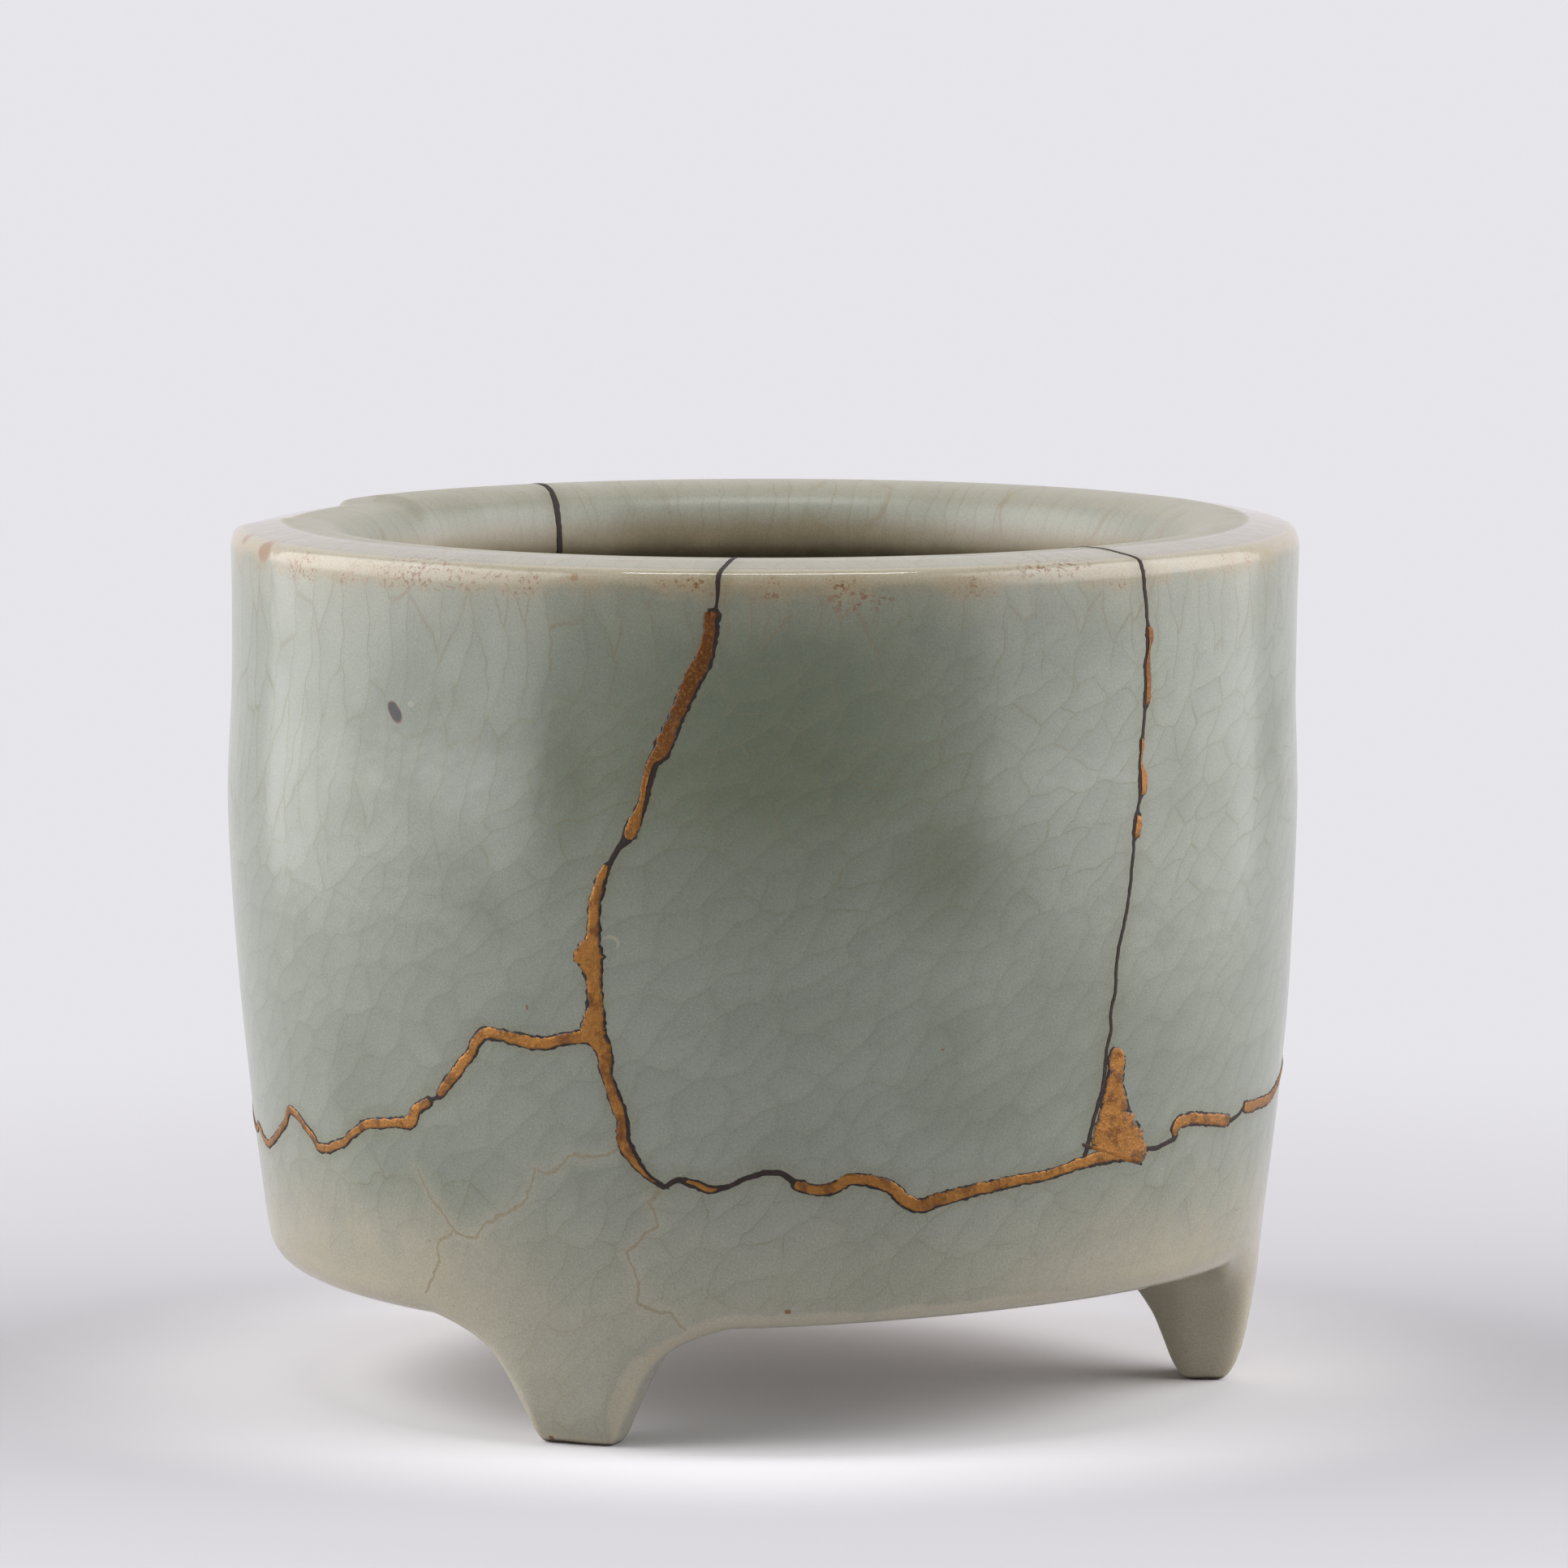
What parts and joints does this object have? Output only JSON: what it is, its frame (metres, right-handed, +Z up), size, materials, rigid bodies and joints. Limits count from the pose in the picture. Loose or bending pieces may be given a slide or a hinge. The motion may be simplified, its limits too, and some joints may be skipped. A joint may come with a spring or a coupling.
{
  "type": "incense burner",
  "caption": "Hollow cylindrical ceramic incense burner with a thick turned-in rim on bracket feet, broken and rejoined with gold lacquer.",
  "frame": {"origin": "under the middle of the vessel, on the surface that the feet stand on", "axes": "+Z up through the mouth, -Y the front as shown, +X to the viewer's right"},
  "size_m": [0.0924, 0.0924, 0.075],
  "materials": {
    "celadon_glaze": "gloss",
    "gold_lacquer": "satin"
  },
  "bodies": {
    "root": {"base_sherd_with_feet": "celadon_glaze", "front_wall_sherd": "celadon_glaze", "left_wall_sherd": "celadon_glaze", "back_wall_sherd": "celadon_glaze", "gold_lacquer_seams": "gold_lacquer"}
  },
  "joints": []
}
